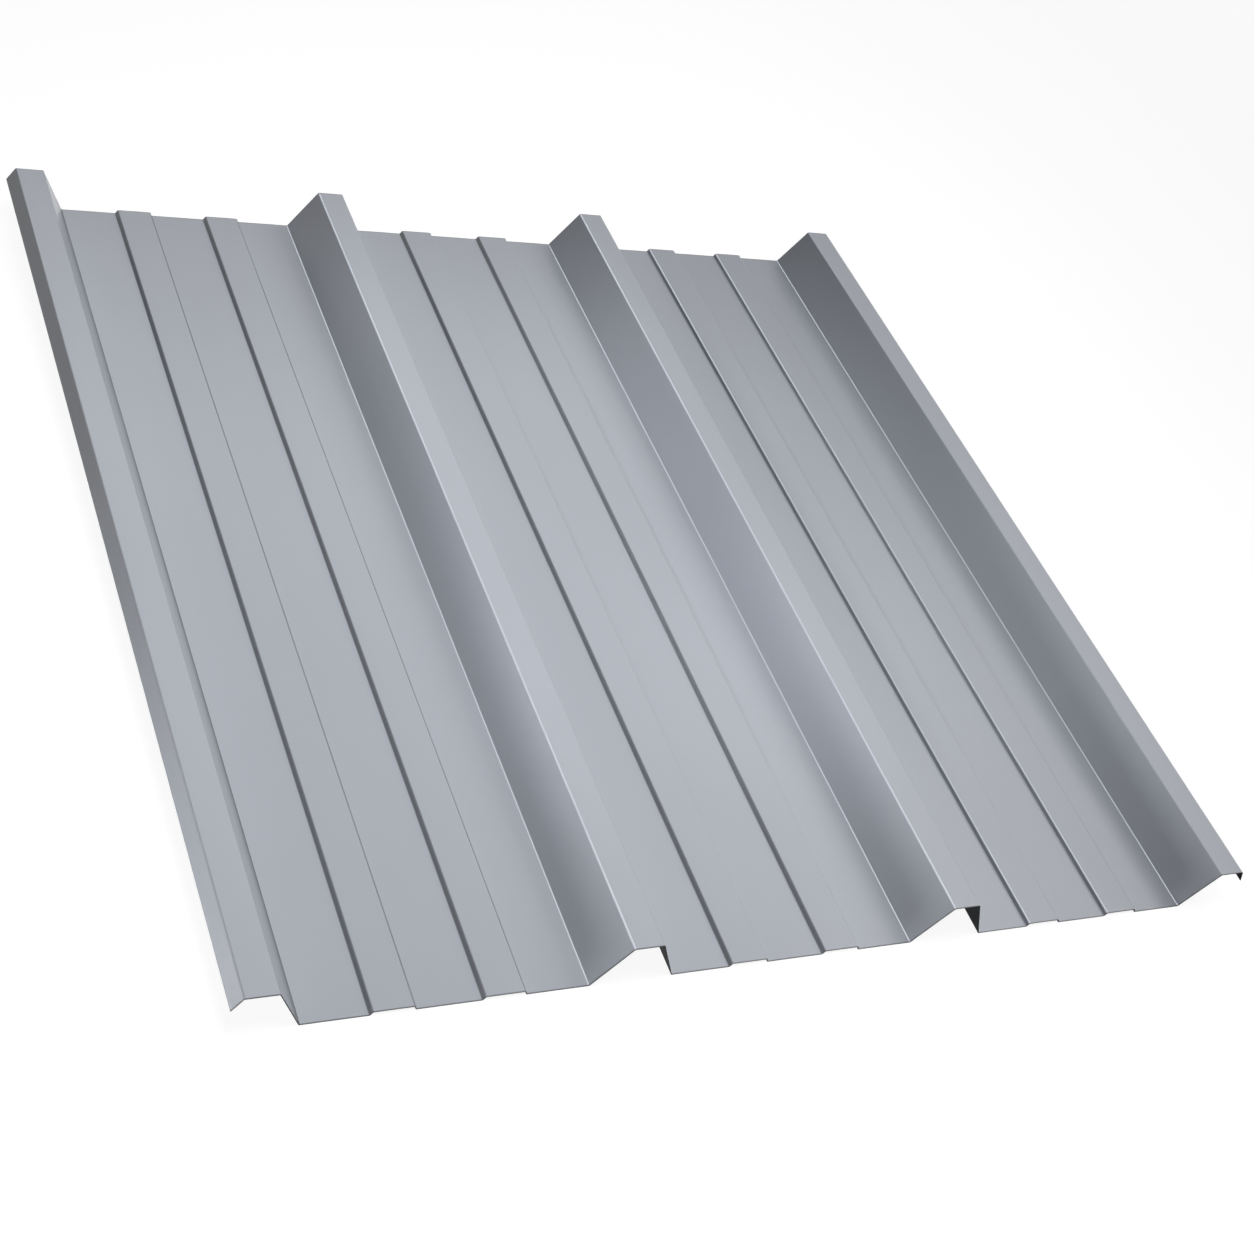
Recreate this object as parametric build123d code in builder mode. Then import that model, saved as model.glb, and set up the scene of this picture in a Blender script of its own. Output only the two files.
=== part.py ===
from build123d import *
import os

# Roll-formed roofing sheet with trapezoidal ribs, pans between them and a short lap leg down
# each side edge. It lies on its pans: X across the ribs, Y along them, Z up. The origin is under
# the middle of the sheet, on the level that the pans stand on.

# whole sheet
cover_width = 1000.0  # middle of the first rib to the middle of the last
pan_count = 3
sheet_length = 1025.0
thickness = 0.75
bend_radius = 1.0  # on the inside of every fold

# rib, with its widths taken between the sharp corners that its flats would meet in
rib_height = 48.0
rib_base = 80.0
crown_width = 28.5
lap_leg = 16.5  # down the slope of the outer web, from the crown's corner to the cut edge

# stiffening swages, spaced evenly across each pan
swage_count = 2
swage_base = 40.0
swage_run = 2.0  # how far each side leans in as it rises
swage_height = 4.2

pitch = cover_width / pan_count
swage_gap = (pitch - rib_base - swage_count * swage_base) / (swage_count + 1)

web_run = (rib_base - crown_width) / 2
web_slope = (web_run**2 + rib_height**2) ** 0.5
leg_run = lap_leg * web_run / web_slope
leg_drop = lap_leg * rib_height / web_slope

# levels and side edges of the painted face, which the steel lies under
pan_level = thickness
swage_level = thickness + swage_height
crown_level = thickness + rib_height
outer_corner = (cover_width + crown_width) / 2
left_edge = (-outer_corner - leg_run, crown_level - leg_drop)
right_edge = (outer_corner + leg_run, crown_level - leg_drop)

# corners of the painted face from one outer crown to the other
corners = [(-outer_corner, crown_level)]
for pan in range(pan_count):
    rib = pan * pitch - cover_width / 2
    corners.append((rib + crown_width / 2, crown_level))
    corners.append((rib + rib_base / 2, pan_level))
    for swage in range(swage_count):
        rise = rib + rib_base / 2 + swage_gap + swage * (swage_base + swage_gap)
        corners.append((rise, pan_level))
        corners.append((rise + swage_run, swage_level))
        corners.append((rise + swage_base - swage_run, swage_level))
        corners.append((rise + swage_base, pan_level))
    corners.append((rib + pitch - rib_base / 2, pan_level))
    corners.append((rib + pitch - crown_width / 2, crown_level))
corners.append((outer_corner, crown_level))

with BuildPart() as roofing_sheet:
    with BuildSketch(Plane.XZ.offset(sheet_length / 2)):
        with BuildLine() as painted_face:
            Polyline(left_edge, *corners, right_edge)
            # a valley takes the bend on this face, and a ridge takes it on the face below
            valleys = painted_face.vertices().filter_by_position(Axis.Y, pan_level, pan_level)
            fillet(valleys, radius=bend_radius)
            for level in (swage_level, crown_level):
                ridges = painted_face.vertices().filter_by_position(Axis.Y, level, level)
                fillet(ridges, radius=bend_radius + thickness)
            offset(amount=thickness, side=Side.RIGHT)
        make_face()
    extrude(amount=-sheet_length)

roofing_sheet.part.label = "roofing_sheet"

os.makedirs("parts", exist_ok=True)
export_step(roofing_sheet.part, "parts/roofing_sheet.step")
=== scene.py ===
"""A roll-formed roofing sheet in coil-coated steel, on a white floor, seen from above its near left
corner."""

import math

import bmesh
import bpy
from bpy.props import FloatProperty, FloatVectorProperty, IntProperty, PointerProperty
from mathutils import Matrix, Vector


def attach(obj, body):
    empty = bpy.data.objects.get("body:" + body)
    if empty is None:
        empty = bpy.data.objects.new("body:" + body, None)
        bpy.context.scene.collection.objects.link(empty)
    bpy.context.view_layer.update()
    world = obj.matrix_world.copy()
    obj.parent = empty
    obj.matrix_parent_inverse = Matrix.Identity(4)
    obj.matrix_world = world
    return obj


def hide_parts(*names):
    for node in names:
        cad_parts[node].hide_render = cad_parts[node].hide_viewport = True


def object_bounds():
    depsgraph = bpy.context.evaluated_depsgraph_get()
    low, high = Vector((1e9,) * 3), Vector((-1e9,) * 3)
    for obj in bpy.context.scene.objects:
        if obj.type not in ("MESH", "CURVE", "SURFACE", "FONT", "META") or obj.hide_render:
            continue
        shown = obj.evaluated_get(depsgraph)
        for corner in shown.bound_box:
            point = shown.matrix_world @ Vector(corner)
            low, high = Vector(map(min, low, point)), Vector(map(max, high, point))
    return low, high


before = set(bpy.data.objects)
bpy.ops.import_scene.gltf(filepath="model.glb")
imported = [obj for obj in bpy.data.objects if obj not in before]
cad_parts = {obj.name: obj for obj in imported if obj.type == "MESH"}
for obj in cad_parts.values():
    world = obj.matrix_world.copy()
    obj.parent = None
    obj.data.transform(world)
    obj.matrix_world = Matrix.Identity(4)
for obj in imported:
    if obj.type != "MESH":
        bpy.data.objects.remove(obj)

bl_info = {
    "name": "Roofing Sheet",
    "version": (1, 0, 0),
    "blender": (4, 5, 0),
    "location": "View3D > Sidebar > Roofing",
    "description": "Models a trapezoidal roofing sheet in coated steel, lit on a white floor",
    "category": "Object",
}

STEEL_NODE = "roofing_sheet"
CAD_LOW, CAD_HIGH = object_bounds()
CAD_SIZE = CAD_HIGH - CAD_LOW
MM = 0.001
TOLERANCE = 0.001 * MM  # places nearer than this are the same

# how finely the strip is divided
BEND_SEGMENTS = 6
CELLS_ALONG = 48
CELL_ACROSS = 24 * MM
CUT_BAND = 0.8 * MM  # along each cut end

# how the flats bow: each wave's pace in radians a metre, and how far it shifts from flat to flat
BOW_WAVES = ((11.3, 1.7), (23.9, 2.9))
FULL_BOW_WIDTH = 60 * MM  # a flat this wide bows by the whole of the oil canning

# how light the coat is painted, as a share of the paint's colour
# painted light on the crowns
PAINTED_CROWN_LIGHT = (1.085, 1.07, 1.02, 1.14)  # from the left rib to the right
# painted shade on the swages' sides
PAINTED_SWAGE_SHADE = 0.5
LAST_PAINTED_SWAGE_SHADE = 0.62  # in the last pan
# painted shade on the left lap leg and along its fold
PAINTED_LEG_SHADE = 0.8
PAINTED_LEG_FOLD_SHADE = 0.7
# a band painted dark along each cut end, which draws the outline
PAINTED_CUT_OUTLINE = 0.4
# painted shade on the webs that face right, darkest at the foot
PAINTED_FOOT_SHADE = 0.25  # at the foot of a web that faces right
FOOT_REACH = 2 / 3  # how far up the web that shade reaches, as a share of the rib's height

# how strong the painted highlight along a fold is, from 0 to 1
PAINTED_FOOT_HIGHLIGHT = 1.0
PAINTED_CROWN_HIGHLIGHT = 0.8
LAST_PAINTED_CROWN_HIGHLIGHT = 0.16  # on the last rib
PAINTED_SWAGE_HIGHLIGHT = 0.65  # on the top folds of the last pan's swages

# which faces those are, by how far they lean: 0 lies flat, 1 stands upright and faces right, and -1
# faces left
FOLD_LEAN = 0.1  # where a fold begins to show
LEFT_SIDE_LEAN = 0.15  # a swage's left side, with its folds
RIGHT_SIDE_LEAN = 0.25  # a swage's right side
STEEP_LEAN = 0.8  # a swage's side, without its folds
LEG_LEAN = 0.5  # the left lap leg
LEAN_SLACK = 0.005  # between a web's flat and its folds
LEVEL_SLACK = 0.1 * MM  # between a crown's flat and its folds
FOOT_SLACK = 0.01 * MM  # between a web's fold and the pan

# floor: what it throws back at the sheet, how much of a shadow it shows, and how bright it looks,
# which rises to 1 between two distances from the sheet
FLOOR_BOUNCE = 0.08
FLOOR_SHADE = 0.2
FLOOR_GLOW = 0.93
GLOW_RISES_FROM, GLOW_RISES_TO = 1.5, 6.0
FLOOR_SIDE = 40.0
FLOOR_DROP = 0.3 * MM  # under the sheet, so that their faces don't coincide

# camera of the photograph, and its roll in degrees
CAMERA_PLACE = (-0.9604, -1.2459, 1.2829)
CAMERA_TARGET = (-0.0122, -0.1143, 0.0)
CAMERA_ROLL = 26.78
SENSOR_WIDTH = 36  # mm

WHITE = "#FFFFFF"

# soft lights: name, place, target, width and height, spread in degrees, which a grid on the front
# narrows from 180, and colour; the power of main_light is the setting main_power, and so on
LAMPS = (
    ("main_light", (-0.3, -0.3, 1.9), (-0.3, -0.3, 0), (1.2, 1.2), 60, WHITE),
    ("side_light", (1.6, 0.3, 1.6), (0.2, 0.2, 0), (2.0, 1.0), 65, WHITE),
    ("back_light", (0.45, 2.2, 1.6), (0.2, 0.15, 0), (2.0, 0.9), 65, "#F4F9FF"),
    ("web_light", (-1.67, 0.02, 0.87), (0.1, 0.02, 0.03), (0.7, 0.12), 12, "#F8FCFF"),
    ("low_light", (-2.0, -0.25, 0.13), (-0.05, -0.17, 0.035), (0.4, 0.25), 16, WHITE),
    ("leg_light", (-2.0, -0.5, 0.13), (-0.05, -0.42, 0.035), (0.4, 0.25), 16, WHITE),
    ("kick_light", (-0.72, -0.45, 0.03), (-0.52, -0.4, 0.04), (0.25, 0.05), 180, WHITE),
)


def linear(code):
    """An sRGB hex colour, such as "#A1B2C3", as linear red, green, blue and an alpha of 1."""
    channels = [int(code[i : i + 2], 16) / 255 for i in (1, 3, 5)]
    return [c / 12.92 if c <= 0.04045 else ((c + 0.055) / 1.055) ** 2.4 for c in channels] + [1.0]


def per_metre(millimetres):
    """The scale of a pattern whose features are that many millimetres apart."""
    return 1 / (millimetres * MM)


# settings that a user would change


class RoofingSheetSizes(bpy.types.PropertyGroup):
    """The rolled section, between the sharp corners that its flats would meet in."""

    cover_width: FloatProperty(
        name="Cover width",
        description="From the middle of the first rib to the middle of the last",
        default=1000 * MM,
        unit="LENGTH",
    )
    pan_count: IntProperty(name="Pans", description="Flat pans between the ribs", default=3, min=1)
    sheet_length: FloatProperty(
        name="Length", description="Length along the ribs", default=CAD_SIZE.y, unit="LENGTH"
    )
    steel: FloatProperty(
        name="Steel", description="Thickness of the coated steel", default=0.75 * MM, unit="LENGTH"
    )
    bend_radius: FloatProperty(
        name="Bend radius",
        description="Radius on the inside of every fold",
        default=1 * MM,
        unit="LENGTH",
    )
    rib_height: FloatProperty(
        name="Rib height",
        description="Top of the pan to top of the crown",
        default=48 * MM,
        unit="LENGTH",
    )
    rib_base: FloatProperty(
        name="Rib base", description="Width of a rib at the pans", default=80 * MM, unit="LENGTH"
    )
    crown_width: FloatProperty(
        name="Crown width",
        description="Width of a rib's flat top",
        default=28.5 * MM,
        unit="LENGTH",
    )
    lap_leg: FloatProperty(
        name="Lap leg",
        description="Length of the leg down the outer slope of each edge rib",
        default=16.5 * MM,
        unit="LENGTH",
    )
    swage_count: IntProperty(
        name="Swages", description="Low stiffening ribs in a pan", default=2, min=0
    )
    swage_base: FloatProperty(
        name="Swage base", description="Width of a swage at the pan", default=40 * MM, unit="LENGTH"
    )
    swage_run: FloatProperty(
        name="Swage run",
        description="How far each side of a swage leans in as it rises",
        default=2 * MM,
        unit="LENGTH",
    )
    swage_height: FloatProperty(
        name="Swage height",
        description="How far a swage stands above the pan",
        default=4.2 * MM,
        unit="LENGTH",
    )
    canning: FloatProperty(
        name="Oil canning",
        description="How far the flats of the pans rise out of true",
        default=0.25 * MM,
        unit="LENGTH",
    )


class RoofingSheetFinish(bpy.types.PropertyGroup):
    """Colours of the coated steel."""

    paint: FloatVectorProperty(
        name="Paint",
        description="Polyester coat on the weather side",
        default=linear("#ACB0B8")[:3],
        subtype="COLOR",
        min=0,
        max=1,
    )
    backing: FloatVectorProperty(
        name="Backing coat",
        description="Epoxy coat on the reverse",
        # its dark colour is painted shade, for the shade under the sheet
        default=linear("#2C3036")[:3],
        subtype="COLOR",
        min=0,
        max=1,
    )
    zinc: FloatVectorProperty(
        name="Cut edge",
        description="Zinc and steel where the sheet is sheared",
        # near-black: the zinc's own dark grey, made darker as painted shade
        default=linear("#141619")[:3],
        subtype="COLOR",
        min=0,
        max=1,
    )


class RoofingStageSettings(bpy.types.PropertyGroup):
    """The floor, the light and the camera."""

    floor_colour: FloatVectorProperty(
        name="Floor",
        description="Colour of the floor",
        default=linear("#F4F4F4")[:3],
        subtype="COLOR",
        min=0,
        max=1,
    )
    main_power: FloatProperty(
        name="Main light",
        description="Power of the gridded light overhead",
        default=4.2,
        unit="POWER",
    )
    side_power: FloatProperty(
        name="Side light",
        description="Power of the long light on the right",
        default=3.7,
        unit="POWER",
    )
    back_power: FloatProperty(
        name="Back light",
        description="Power of the light behind the far end",
        default=1.8,
        unit="POWER",
    )
    web_power: FloatProperty(
        name="Web light",
        description="Power of the strip on the left, aimed at the middle webs",
        default=0.136,
        unit="POWER",
    )
    low_power: FloatProperty(
        name="Low light",
        description="Power of the low light on the left, which grazes the middle of the ribs",
        default=0.08,
        unit="POWER",
    )
    leg_power: FloatProperty(
        name="Leg light",
        description="Power of the low light on the left, which grazes the near ends",
        default=0.138,
        unit="POWER",
    )
    kick_power: FloatProperty(
        name="Kick light",
        description="Power of the small light beside the near lap leg",
        default=0.22,
        unit="POWER",
    )
    sky: FloatProperty(
        name="Fill", description="Strength of the even light from all round", default=0.02, min=0
    )
    lens: FloatProperty(
        name="Lens", description="Focal length", default=56.06, min=10, unit="CAMERA"
    )


# mesh


def section_corners(sizes):
    """Corners of the painted face, across the sheet from edge to edge, as (x, z, kind)."""
    pitch = sizes.cover_width / sizes.pan_count
    swages = sizes.swage_count
    gap = (pitch - sizes.rib_base - swages * sizes.swage_base) / (swages + 1)
    pan_level = sizes.steel
    swage_level = sizes.steel + sizes.swage_height
    crown_level = sizes.steel + sizes.rib_height
    outer = (sizes.cover_width + sizes.crown_width) / 2
    web_run = (sizes.rib_base - sizes.crown_width) / 2
    web = math.hypot(web_run, sizes.rib_height)
    edge_x = outer + sizes.lap_leg * web_run / web
    edge_z = crown_level - sizes.lap_leg * sizes.rib_height / web

    corners = [(-edge_x, edge_z, "edge"), (-outer, crown_level, "crown")]
    for pan in range(sizes.pan_count):
        rib = pan * pitch - sizes.cover_width / 2
        foot = rib + sizes.rib_base / 2
        corners.append((rib + sizes.crown_width / 2, crown_level, "crown"))
        corners.append((foot, pan_level, "foot"))
        for swage in range(swages):
            rise = foot + gap + swage * (sizes.swage_base + gap)
            corners.append((rise, pan_level, "swage foot"))
            corners.append((rise + sizes.swage_run, swage_level, "swage top"))
            corners.append((rise + sizes.swage_base - sizes.swage_run, swage_level, "swage top"))
            corners.append((rise + sizes.swage_base, pan_level, "swage foot"))
        corners.append((rib + pitch - sizes.rib_base / 2, pan_level, "foot"))
        corners.append((rib + pitch - sizes.crown_width / 2, crown_level, "crown"))
    corners += [(outer, crown_level, "crown"), (edge_x, edge_z, "edge")]
    return corners


def roll_folds(bm, corners, sizes):
    """Rounds every fold of the flat-sided strip to its bend."""
    web_angle = math.atan2(sizes.rib_height, (sizes.rib_base - sizes.crown_width) / 2)
    side_angle = math.atan2(sizes.swage_height, sizes.swage_run)
    inside, outside = sizes.bend_radius, sizes.bend_radius + sizes.steel
    bends = {
        "crown": (outside, web_angle),
        "foot": (inside, web_angle),
        "swage top": (outside, side_angle),
        "swage foot": (inside, side_angle),
    }
    for kind, (radius, angle) in bends.items():
        places = [x for x, z, its_kind in corners if its_kind == kind]
        along = [
            edge
            for edge in bm.edges
            if abs(edge.verts[0].co.x - edge.verts[1].co.x) < TOLERANCE
            and any(abs(edge.verts[0].co.x - x) < TOLERANCE for x in places)
        ]
        bmesh.ops.bevel(
            bm,
            geom=along,
            offset=radius * math.tan(angle / 2),
            offset_type="OFFSET",
            segments=BEND_SEGMENTS,
            profile=0.5,
            affect="EDGES",
            material=-1,
            clamp_overlap=False,
        )


def divide(bm, sizes):
    """Cuts the strip into cells, so that the flats can bow, and a band along each cut end."""
    along = [
        edge
        for edge in bm.edges
        if abs(edge.verts[0].co.y - edge.verts[1].co.y) > sizes.sheet_length / 2
    ]
    bmesh.ops.subdivide_edges(bm, edges=along, cuts=CELLS_ALONG - 1, use_grid_fill=True)
    across = {}
    for edge in bm.edges:
        if abs(edge.verts[0].co.y - edge.verts[1].co.y) > TOLERANCE:
            continue
        cuts = int(edge.calc_length() / CELL_ACROSS)
        if cuts:
            across.setdefault(cuts, []).append(edge)
    for cuts, edges in sorted(across.items()):
        bmesh.ops.subdivide_edges(bm, edges=edges, cuts=cuts, use_grid_fill=True)
    for end in (-1, 1):
        everything = bm.verts[:] + bm.edges[:] + bm.faces[:]
        line = (0, end * (sizes.sheet_length / 2 - CUT_BAND), 0)
        bmesh.ops.bisect_plane(bm, geom=everything, plane_co=line, plane_no=(0, 1, 0))


def oil_can(bm, corners, sizes):
    """Lets the flats of the pans bow up a little between their folds, as rolled sheet does."""
    flats = []
    for (x0, z0, kind0), (x1, z1, kind1) in zip(corners, corners[1:]):
        if abs(z0 - z1) < TOLERANCE and kind0 != "crown":
            flats.append((x0 + sizes.bend_radius, x1 - sizes.bend_radius, z0))
    for vert in bm.verts:
        for number, (low, high, level) in enumerate(flats):
            if low < vert.co.x < high and abs(vert.co.z - level) < TOLERANCE:
                across = math.sin(math.pi * (vert.co.x - low) / (high - low)) ** 2
                share = (high - low) / FULL_BOW_WIDTH
                wave = sum(math.sin(pace * vert.co.y + shift * number) for pace, shift in BOW_WAVES)
                # the two waves together run from -2 to 2, so the flats only ever bow upwards
                vert.co.z += sizes.canning * share * across * (0.5 + 0.25 * wave)


def mark_coat(bm, sizes):
    """Marks where the coat is painted otherwise than on the flats: paler on the crowns, as painted
    light, and darker on the left sides of the swages, on their right sides too in the first pan,
    and on the left lap leg, as painted shade. Along the folds of the webs that face left it marks a
    painted highlight. The webs that face right get painted shade that deepens softly towards the
    foot. In the last pan the swages' painted shade lines are thinner and paler, and their top folds
    carry a painted highlight. A narrow band along each cut end is painted dark, which draws the
    sheet's outline."""
    tone = bm.faces.layers.float.new("tone")
    burnish = bm.faces.layers.float.new("burnish")
    shade = bm.verts.layers.float.new("shade")
    pitch = sizes.cover_width / sizes.pan_count
    first_rib, last_rib = -sizes.cover_width / 2, sizes.cover_width / 2
    web_run = (sizes.rib_base - sizes.crown_width) / 2
    web_lean = sizes.rib_height / math.hypot(sizes.rib_height, web_run)
    crown_level = sizes.steel + sizes.rib_height
    swage_middle = sizes.steel + sizes.swage_height / 2
    for face in bm.faces:
        middle = face.calc_center_median()
        lean = face.normal.x
        from_rib = (middle.x - first_rib + pitch / 2) % pitch - pitch / 2
        on_rib = abs(from_rib) < sizes.rib_base / 2 + sizes.bend_radius
        on_left_leg = middle.x < first_rib
        in_first_pan = middle.x < first_rib + pitch
        in_last_pan = middle.x > last_rib - pitch
        # a web's flat leans by web_lean, and its folds by less
        on_left_fold = on_rib and -web_lean + LEAN_SLACK < lean < -FOLD_LEAN

        face[tone] = 1.0
        # painted light: the crowns are painted paler, each rib by its own share
        if on_rib and middle.z > crown_level - LEVEL_SLACK:
            rib = round((middle.x - first_rib) / pitch)
            face[tone] = PAINTED_CROWN_LIGHT[rib % len(PAINTED_CROWN_LIGHT)]
        # painted shade on the swages' sides: in the last pan on their steepest faces only,
        # elsewhere on the left sides, and in the first pan on the right sides too
        if not on_rib and in_last_pan:
            if lean < -STEEP_LEAN:
                face[tone] = LAST_PAINTED_SWAGE_SHADE
            # painted highlight on the top folds of the last pan's swages
            elif lean < -FOLD_LEAN and middle.z > swage_middle:
                face[burnish] = PAINTED_SWAGE_HIGHLIGHT
        elif not on_rib and (lean < -LEFT_SIDE_LEAN or (lean > RIGHT_SIDE_LEAN and in_first_pan)):
            face[tone] = PAINTED_SWAGE_SHADE
        # painted shade on the webs that face right, fading from the foot upwards
        if on_rib and lean > FOLD_LEAN and middle.z < crown_level:
            for vert in face.verts:
                height = vert.co.z - sizes.steel
                if height > FOOT_SLACK:
                    share = height / sizes.rib_height
                    vert[shade] = max(0.0, 1 - share / FOOT_REACH) ** 2
        # painted shade on the left lap leg, darker along its fold
        if on_left_leg and lean < -LEG_LEAN:
            face[tone] = PAINTED_LEG_SHADE
        if on_left_fold and on_left_leg:
            face[tone] = PAINTED_LEG_FOLD_SHADE
        # painted highlight along the folds of the webs that face left
        elif on_left_fold and middle.z < crown_level / 2:
            face[burnish] = PAINTED_FOOT_HIGHLIGHT
        elif on_left_fold:
            face[burnish] = LAST_PAINTED_CROWN_HIGHLIGHT if in_last_pan else PAINTED_CROWN_HIGHLIGHT
        # a narrow band painted dark along each cut end, which draws the sheet's outline
        if abs(middle.y) > sizes.sheet_length / 2 - CUT_BAND:
            face[tone], face[burnish] = PAINTED_CUT_OUTLINE, 0.0


def painted_face(sizes):
    """The painted face as a bmesh: a strip along the ribs, folded, divided and slightly bowed."""
    corners = section_corners(sizes)
    near = -sizes.sheet_length / 2
    bm = bmesh.new()
    row = [bm.verts.new((x, near, z)) for x, z, kind in corners]
    edges = [bm.edges.new(pair) for pair in zip(row, row[1:])]
    swept = bmesh.ops.extrude_edge_only(bm, edges=edges)["geom"]
    far = [item for item in swept if isinstance(item, bmesh.types.BMVert)]
    bmesh.ops.translate(bm, verts=far, vec=(0, sizes.sheet_length, 0))
    roll_folds(bm, corners, sizes)
    divide(bm, sizes)
    oil_can(bm, corners, sizes)
    bm.normal_update()
    if sum(face.normal.z * face.calc_area() for face in bm.faces) < 0:
        bmesh.ops.reverse_faces(bm, faces=bm.faces)
    mark_coat(bm, sizes)
    for face in bm.faces:
        face.smooth = True
    for edge in bm.edges:
        edge.smooth = not edge.is_boundary
    return bm


# materials


def add_node(tree, kind, settings=None, **inputs):
    """A node with its settings, and its inputs as values or as the sockets that feed them. An input
    goes by its name, with _ for each space, or by its number, as in _6. In a Mix node the colours
    are inputs 6 and 7 and output 2."""
    node = tree.nodes.new(kind)
    for name, value in (settings or {}).items():
        setattr(node, name, value)
    for name, value in inputs.items():
        numbered = name[1:].isdigit()
        socket = node.inputs[int(name[1:]) if numbered else name.replace("_", " ")]
        if isinstance(value, bpy.types.NodeSocket):
            tree.links.new(value, socket)
        else:
            socket.default_value = value
    return node


def new_material(name):
    """An empty node material with its Principled shader."""
    material = bpy.data.materials.new(name)
    material.use_nodes = True
    tree = material.node_tree
    tree.nodes.clear()
    shader = add_node(tree, "ShaderNodeBsdfPrincipled")
    add_node(tree, "ShaderNodeOutputMaterial", Surface=shader.outputs["BSDF"])
    return material, tree, shader


def shaded(colour, factor):
    """A linear colour made lighter or darker, with an alpha of 1."""
    return [min(1.0, c * factor) for c in colour[:3]] + [1.0]


def polyester_coat(finish):
    """Satin polyester on galvanised steel, dried on the flat coil: even colour, a faint orange
    peel, and long soft marks where the rolls ran. It is painted darker or paler where the faces are
    marked, as painted shade and painted light. The folds of the webs that face left carry a painted
    highlight, so each is a thin bright line."""
    material, tree, shader = new_material("polyester_coil_coat")
    place = add_node(tree, "ShaderNodeTexCoord").outputs["Object"]

    # the coat's colour wanders by a few percent over about the width of a pan
    clouds = add_node(tree, "ShaderNodeTexNoise", Vector=place, Scale=per_metre(260), Detail=2.0)
    coat = add_node(
        tree,
        "ShaderNodeMix",
        {"data_type": "RGBA"},
        Factor=clouds.outputs["Fac"],
        _6=shaded(finish.paint, 0.965),
        _7=shaded(finish.paint, 1.035),
    )
    # what mark_coat marked: the painted light and shade of each face, and the painted shade that
    # fades up the webs that face right
    tone = add_node(tree, "ShaderNodeAttribute", {"attribute_name": "tone"})
    shade = add_node(tree, "ShaderNodeAttribute", {"attribute_name": "shade"})
    foot = add_node(
        tree, "ShaderNodeMapRange", Value=shade.outputs["Fac"], To_Min=1.0, To_Max=PAINTED_FOOT_SHADE
    )
    painted_shading = add_node(
        tree,
        "ShaderNodeMath",
        {"operation": "MULTIPLY"},
        _0=tone.outputs["Fac"],
        _1=foot.outputs[0],
    )
    toned = add_node(
        tree,
        "ShaderNodeMix",
        {"data_type": "RGBA", "blend_type": "MULTIPLY"},
        Factor=1.0,
        _6=coat.outputs[2],
        _7=painted_shading.outputs[0],
    )
    # painted highlight: a marked fold is painted half again as pale, and gleams a little as metal
    # does
    burnish = add_node(tree, "ShaderNodeAttribute", {"attribute_name": "burnish"})
    bright = add_node(
        tree,
        "ShaderNodeMix",
        {"data_type": "RGBA"},
        Factor=burnish.outputs["Fac"],
        _6=toned.outputs[2],
        _7=shaded(finish.paint, 1.5),
    )
    tree.links.new(bright.outputs[2], shader.inputs["Base Color"])
    metal = add_node(tree, "ShaderNodeMapRange", Value=burnish.outputs["Fac"], To_Max=0.45)
    tree.links.new(metal.outputs[0], shader.inputs["Metallic"])

    # the rolls' marks are some 5 mm apart, and 50 times as long along the ribs
    lengthwise = add_node(tree, "ShaderNodeMapping", Vector=place, Scale=(1.0, 1 / 50, 1.0))
    marks = add_node(
        tree, "ShaderNodeTexNoise", Vector=lengthwise.outputs[0], Scale=per_metre(5), Detail=3.0
    )
    gloss = add_node(
        tree,
        "ShaderNodeMapRange",
        Value=marks.outputs["Fac"],
        From_Min=0.3,
        From_Max=0.7,
        To_Min=0.28,
        To_Max=0.33,
    )
    tree.links.new(gloss.outputs[0], shader.inputs["Roughness"])

    # real orange peel is under a millimetre across, so it is drawn a little coarser to show
    peel = add_node(tree, "ShaderNodeTexNoise", Vector=place, Scale=per_metre(2.2), Detail=1.0)
    bump = add_node(
        tree, "ShaderNodeBump", Height=peel.outputs["Fac"], Strength=0.12, Distance=0.02 * MM
    )
    tree.links.new(bump.outputs[0], shader.inputs["Normal"])
    shader.inputs["IOR"].default_value = 1.5
    return material


def epoxy_backing(finish):
    """Thin epoxy primer on the reverse, rolled on in one pass: duller than the paint, a little
    uneven, with lengthwise rub marks from the rolls. Its dark colour is painted shade, for the
    shade under the sheet."""
    material, tree, shader = new_material("epoxy_backing_coat")
    place = add_node(tree, "ShaderNodeTexCoord").outputs["Object"]
    # the rub marks are some 9 mm apart, and over 30 times as long along the ribs
    lengthwise = add_node(tree, "ShaderNodeMapping", Vector=place, Scale=(1.0, 0.03, 1.0))
    rubs = add_node(
        tree, "ShaderNodeTexNoise", Vector=lengthwise.outputs[0], Scale=per_metre(9), Detail=4.0
    )
    coat = add_node(
        tree,
        "ShaderNodeMix",
        {"data_type": "RGBA"},
        Factor=rubs.outputs["Fac"],
        _6=shaded(finish.backing, 0.92),
        _7=shaded(finish.backing, 1.08),
    )
    tree.links.new(coat.outputs[2], shader.inputs["Base Color"])
    shader.inputs["Roughness"].default_value = 0.6
    # a primer as matt as this hardly mirrors the white floor under it
    shader.inputs["Specular IOR Level"].default_value = 0.02
    return material


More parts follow.
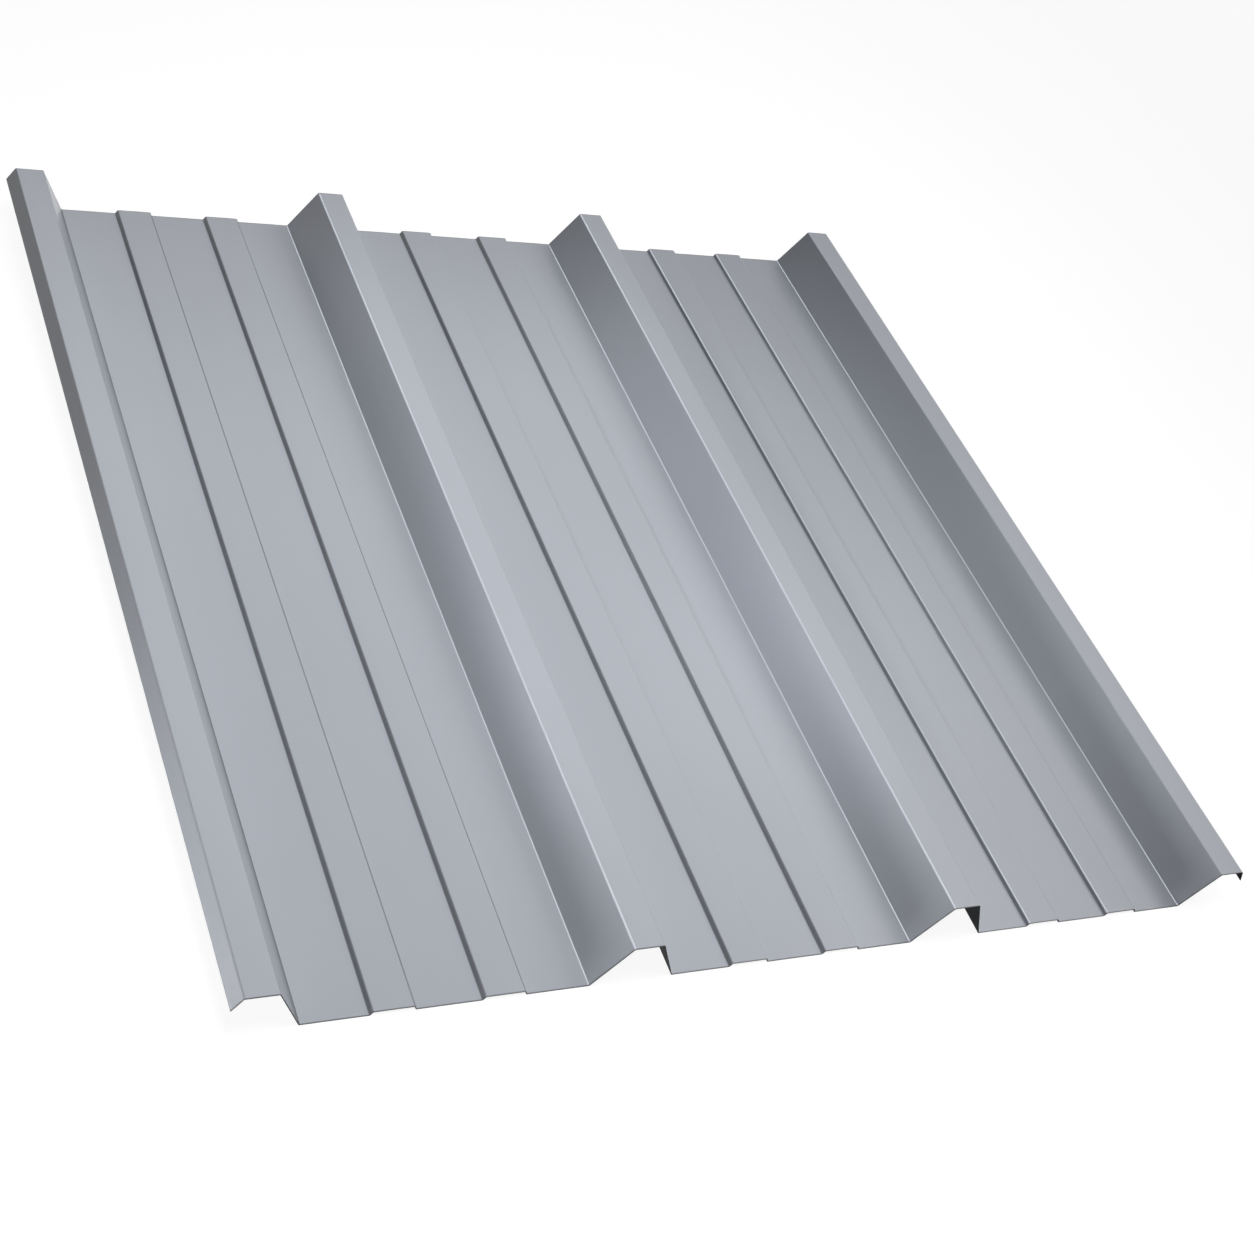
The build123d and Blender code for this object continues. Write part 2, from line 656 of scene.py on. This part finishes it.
def sheared_zinc(finish):
    """Galvanised steel cut by a shear: a dull break with fine steps across it. It is painted
    near-black, partly the zinc's own dark grey and partly painted shade, which outlines the sheet."""
    material, tree, shader = new_material("sheared_zinc_edge")
    place = add_node(tree, "ShaderNodeTexCoord").outputs["Object"]
    steps = add_node(tree, "ShaderNodeTexNoise", Vector=place, Scale=per_metre(1.5), Detail=2.0)
    metal = add_node(
        tree,
        "ShaderNodeMix",
        {"data_type": "RGBA"},
        Factor=steps.outputs["Fac"],
        _6=shaded(finish.zinc, 0.75),
        _7=shaded(finish.zinc, 1.15),
    )
    tree.links.new(metal.outputs[2], shader.inputs["Base Color"])
    shader.inputs["Roughness"].default_value = 0.7
    shader.inputs["Specular IOR Level"].default_value = 0.2
    return material


# stage


def seen_directly(tree):
    """1 for what the camera, gloss and glass show, and 0 for the light that spreads."""
    path = add_node(tree, "ShaderNodeLightPath")
    shown = add_node(
        tree,
        "ShaderNodeMath",
        {"operation": "MAXIMUM"},
        _0=path.outputs["Is Glossy Ray"],
        _1=path.outputs["Is Transmission Ray"],
    )
    return add_node(
        tree,
        "ShaderNodeMath",
        {"operation": "MAXIMUM"},
        _0=path.outputs["Is Camera Ray"],
        _1=shown.outputs[0],
    ).outputs[0]


def studio_floor(colour):
    """Pale paper that is seen as white, keeps a soft shadow near the sheet, meets the white air
    without a line, and throws little light back at the sheet."""
    material = bpy.data.materials.new("studio_paper")
    material.use_nodes = True
    tree = material.node_tree
    tree.nodes.clear()
    bounce = add_node(tree, "ShaderNodeBsdfDiffuse", Color=shaded(colour, FLOOR_BOUNCE))
    shadow = add_node(tree, "ShaderNodeBsdfDiffuse", Color=shaded(colour, FLOOR_SHADE))
    place = add_node(tree, "ShaderNodeTexCoord").outputs["Object"]
    distance = add_node(tree, "ShaderNodeVectorMath", {"operation": "LENGTH"}, Vector=place)
    brightness = add_node(
        tree,
        "ShaderNodeMapRange",
        Value=distance.outputs["Value"],
        From_Min=GLOW_RISES_FROM,
        From_Max=GLOW_RISES_TO,
        To_Min=FLOOR_GLOW,
    )
    glow = add_node(
        tree, "ShaderNodeEmission", Color=(1, 1, 1, 1), Strength=brightness.outputs[0]
    )
    paper = add_node(tree, "ShaderNodeAddShader", _0=shadow.outputs[0], _1=glow.outputs[0])
    choice = add_node(
        tree,
        "ShaderNodeMixShader",
        _0=seen_directly(tree),
        _1=bounce.outputs[0],
        _2=paper.outputs[0],
    )
    add_node(tree, "ShaderNodeOutputMaterial", Surface=choice.outputs[0])
    return material


def studio_world(fill):
    """An even fill from all round, which the camera and the gloss see as white."""
    world = bpy.data.worlds.new("studio")
    world.use_nodes = True
    tree = world.node_tree
    tree.nodes.clear()
    strength = add_node(
        tree, "ShaderNodeMapRange", Value=seen_directly(tree), To_Min=fill, To_Max=1.0
    )
    air = add_node(
        tree, "ShaderNodeBackground", Color=(1, 1, 1, 1), Strength=strength.outputs[0]
    )
    add_node(tree, "ShaderNodeOutputWorld", Surface=air.outputs[0])
    return world


def soft_light(name, power, place, target, size, spread, colour):
    """A rectangular soft light that faces a point."""
    lamp = bpy.data.lights.new(name, "AREA")
    lamp.color = linear(colour)[:3]
    lamp.spread = math.radians(spread)
    lamp.shape = "RECTANGLE"
    lamp.size, lamp.size_y = size
    lamp.energy = power
    holder = bpy.data.objects.new(name, lamp)
    holder.location = place
    aim = (Vector(target) - Vector(place)).to_track_quat("-Z", "Y")
    holder.rotation_euler = aim.to_euler()
    bpy.context.scene.collection.objects.link(holder)


def photo_camera(lens):
    """The camera at the photograph's place: it looks down and is rolled, so the near end rises to
    the right."""
    camera = bpy.data.objects.new("photo_camera", bpy.data.cameras.new("photo_camera"))
    camera.data.sensor_width = SENSOR_WIDTH
    camera.data.lens = lens
    camera.data.clip_start, camera.data.clip_end = 0.05, 100
    aim = (Vector(CAMERA_TARGET) - Vector(CAMERA_PLACE)).to_track_quat("-Z", "Y")
    roll = Matrix.Rotation(math.radians(CAMERA_ROLL), 4, "Z")
    camera.matrix_world = Matrix.Translation(CAMERA_PLACE) @ aim.to_matrix().to_4x4() @ roll
    bpy.context.scene.collection.objects.link(camera)
    return camera


# operators


class ROOFING_OT_rolled_sheet(bpy.types.Operator):
    """Models the coated steel sheet, in place of the plain solid"""

    bl_idname = "roofing.rolled_sheet"
    bl_label = "Rolled Sheet"

    def execute(self, context):
        sizes = context.scene.roofing_sizes
        finish = context.scene.roofing_finish
        bm = painted_face(sizes)
        mesh = bpy.data.meshes.new("coated_steel_sheet")
        bm.to_mesh(mesh)
        bm.free()
        sheet = bpy.data.objects.new("coated_steel_sheet", mesh)
        context.scene.collection.objects.link(sheet)
        for material in (polyester_coat(finish), epoxy_backing(finish), sheared_zinc(finish)):
            mesh.materials.append(material)

        thickness = sheet.modifiers.new("steel", "SOLIDIFY")
        thickness.thickness = sizes.steel
        thickness.offset = -1
        thickness.use_even_offset = True
        thickness.material_offset = 1
        thickness.material_offset_rim = 2
        flats = sheet.modifiers.new("flat_faces_lead_the_normals", "WEIGHTED_NORMAL")
        flats.keep_sharp = True

        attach(sheet, "root")
        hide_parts(STEEL_NODE)
        return {"FINISHED"}


class ROOFING_OT_stage(bpy.types.Operator):
    """Lays the floor and sets up the light and the camera"""

    bl_idname = "roofing.stage"
    bl_label = "Stage"

    def execute(self, context):
        scene = context.scene
        settings = scene.roofing_stage
        bm = bmesh.new()
        bmesh.ops.create_grid(bm, x_segments=1, y_segments=1, size=FLOOR_SIDE / 2)
        bmesh.ops.translate(bm, verts=bm.verts, vec=(0, 0, CAD_LOW.z - FLOOR_DROP))
        mesh = bpy.data.meshes.new("studio_floor")
        bm.to_mesh(mesh)
        bm.free()
        mesh.materials.append(studio_floor(settings.floor_colour))
        floor = bpy.data.objects.new("studio_floor", mesh)
        scene.collection.objects.link(floor)

        for name, *rest in LAMPS:
            power = getattr(settings, name.replace("light", "power"))
            soft_light(name, power, *rest)
        scene.world = studio_world(settings.sky)

        scene.view_settings.view_transform = "Standard"
        scene.camera = photo_camera(settings.lens)
        return {"FINISHED"}


class VIEW3D_PT_roofing(bpy.types.Panel):
    """Lists the sizes, the finish, the stage and the steps that use them"""

    bl_label = "Roofing Sheet"
    bl_space_type = "VIEW_3D"
    bl_region_type = "UI"
    bl_category = "Roofing"

    def draw(self, context):
        layout = self.layout
        scene = context.scene
        for group in (scene.roofing_sizes, scene.roofing_finish, scene.roofing_stage):
            box = layout.box()
            for name in group.bl_rna.properties.keys():
                if name not in {"rna_type", "name"}:
                    box.prop(group, name)
        layout.operator(ROOFING_OT_rolled_sheet.bl_idname)
        layout.operator(ROOFING_OT_stage.bl_idname)


CLASSES = (
    RoofingSheetSizes,
    RoofingSheetFinish,
    RoofingStageSettings,
    ROOFING_OT_rolled_sheet,
    ROOFING_OT_stage,
    VIEW3D_PT_roofing,
)


def register():
    for cls in CLASSES:
        bpy.utils.register_class(cls)
    bpy.types.Scene.roofing_sizes = PointerProperty(type=RoofingSheetSizes)
    bpy.types.Scene.roofing_finish = PointerProperty(type=RoofingSheetFinish)
    bpy.types.Scene.roofing_stage = PointerProperty(type=RoofingStageSettings)


def unregister():
    del bpy.types.Scene.roofing_stage
    del bpy.types.Scene.roofing_finish
    del bpy.types.Scene.roofing_sizes
    for cls in reversed(CLASSES):
        bpy.utils.unregister_class(cls)


def main():
    """Registers the add-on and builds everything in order."""
    register()
    bpy.ops.roofing.rolled_sheet()
    bpy.ops.roofing.stage()
    bpy.context.view_layer.update()


if __name__ == "__main__":
    main()
